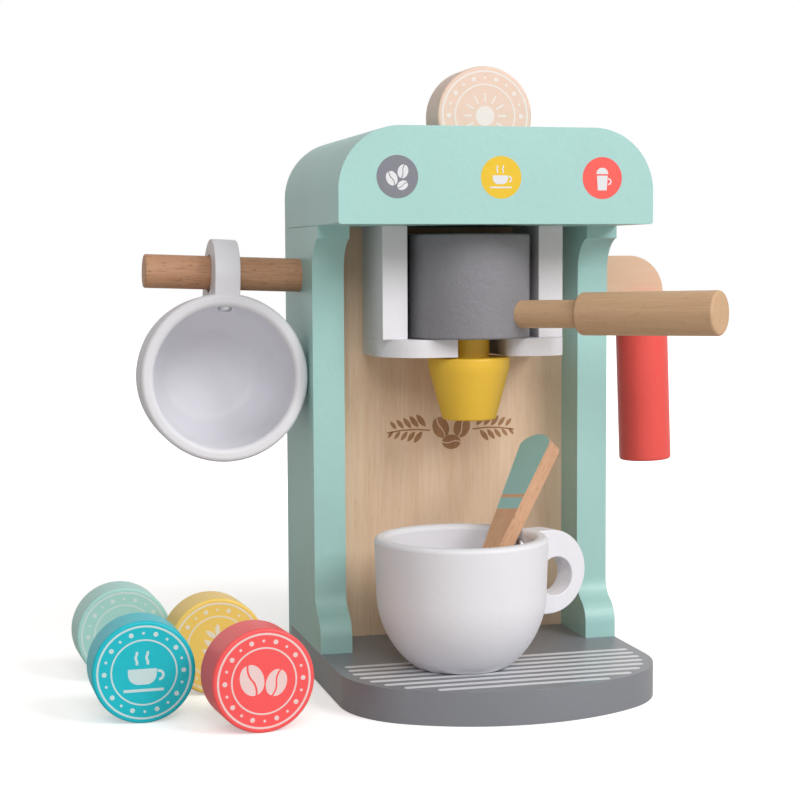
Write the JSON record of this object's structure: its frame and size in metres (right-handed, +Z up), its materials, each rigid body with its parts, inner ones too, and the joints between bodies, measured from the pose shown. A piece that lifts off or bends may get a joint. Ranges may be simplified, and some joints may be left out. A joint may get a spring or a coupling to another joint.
{
  "type": "toy coffee maker",
  "caption": "Wooden toy coffee maker: grey base, mint body, swinging handle over a bay, side peg with mug, steam wand, pods and a stirrer.",
  "frame": {"origin": "centre of the machine's footprint, on the surface that it stands on", "axes": "+X to the machine's right seen from the front, +Y to its back, +Z up"},
  "size_m": [0.3417, 0.1983, 0.3222],
  "materials": {
    "mint_paint": "satin paint on fibreboard",
    "grey_paint": "satin paint on wood",
    "white_paint": "satin paint on wood",
    "yellow_paint": "satin paint on wood",
    "coral_paint": "satin paint on wood",
    "beige_paint": "satin paint on wood",
    "teal_paint": "satin paint on wood",
    "pale_mint_paint": "satin paint on wood",
    "beech": "sanded and clear varnished",
    "light_beech": "sanded and clear varnished",
    "birch_plywood": "sanded veneer",
    "steel": "zinc plated"
  },
  "bodies": {
    "machine": {"base": "grey_paint", "side_panel_left": "mint_paint", "side_panel_right": "mint_paint", "back_board": "mint_paint", "inner_panel": "birch_plywood", "head_hood": "mint_paint", "head_floor": "mint_paint", "front_fascia": "mint_paint", "pod_well": "white_paint", "group_wall_left": "white_paint", "group_wall_right": "white_paint", "fork_plate": "white_paint", "mug_peg": "beech", "wand_arm": "light_beech", "wand_pin": "steel", "base_screws": "steel", "back_screws": "steel", "fork_screws": "steel", "arm_screws": "steel", "panel_dowels": "beech"},
    "spout_carrier": {"spout": "yellow_paint", "drum_screw": "steel"},
    "portafilter": {"portafilter_drum": "grey_paint", "handle_neck": "beech", "handle_grip": "beech"},
    "hanging_mug": {"mug_bowl": "white_paint", "mug_handle": "white_paint", "mug_screw": "steel"},
    "tray_mug": {"cup_bowl": "white_paint", "cup_handle": "white_paint", "cup_screw": "steel"},
    "stirrer": {"stirrer": "beech"},
    "steam_wand": {"steam_wand": "coral_paint"},
    "pod_top": {"pod_top": "beige_paint"},
    "pod_teal": {"pod_teal": "teal_paint"},
    "pod_coral": {"pod_coral": "coral_paint"},
    "pod_yellow": {"pod_yellow": "yellow_paint"},
    "pod_mint": {"pod_mint": "pale_mint_paint"}
  },
  "joints": [
    {"name": "portafilter_slide", "type": "slide", "parent": "machine", "child": "spout_carrier", "axis": [0, -1, 0], "range_m": [0, 0.11]},
    {"name": "portafilter_turn", "type": "hinge", "parent": "spout_carrier", "child": "portafilter", "pos_m": [0, 0.015, 0.1947], "axis": [0, 0, 1], "range_deg": [-105, 20]},
    {"name": "mug_swing", "type": "hinge", "parent": "machine", "child": "hanging_mug", "pos_m": [-0.1253, 0.0605, 0.21654], "axis": [0.9994, 0, -0.0349], "range_deg": [-45, 45]},
    {"name": "tray_mug_slide", "type": "slide", "parent": "machine", "child": "tray_mug", "axis": [0, -1, 0], "range_m": [-0.02, 0.04]},
    {"name": "stirrer_slide", "type": "slide", "parent": "tray_mug", "child": "stirrer", "axis": [0.4998, 0.3712, 0.7826], "range_m": [0, 0.03]},
    {"name": "wand_swing", "type": "hinge", "parent": "machine", "child": "steam_wand", "pos_m": [0.1168, 0.0605, 0.195], "axis": [0, -1, 0], "range_deg": [-13, 86]},
    {"name": "pod_top_lift", "type": "slide", "parent": "machine", "child": "pod_top", "axis": [0, 0, 1], "range_m": [0, 0.05]},
    {"name": "pod_teal_lift", "type": "slide", "parent": "machine", "child": "pod_teal", "axis": [0, 0, 1], "range_m": [0, 0.05]},
    {"name": "pod_coral_lift", "type": "slide", "parent": "machine", "child": "pod_coral", "axis": [0, 0, 1], "range_m": [0, 0.05]},
    {"name": "pod_yellow_lift", "type": "slide", "parent": "machine", "child": "pod_yellow", "axis": [0, 0, 1], "range_m": [0, 0.05]},
    {"name": "pod_mint_lift", "type": "slide", "parent": "machine", "child": "pod_mint", "axis": [0, 0, 1], "range_m": [0, 0.05]}
  ]
}
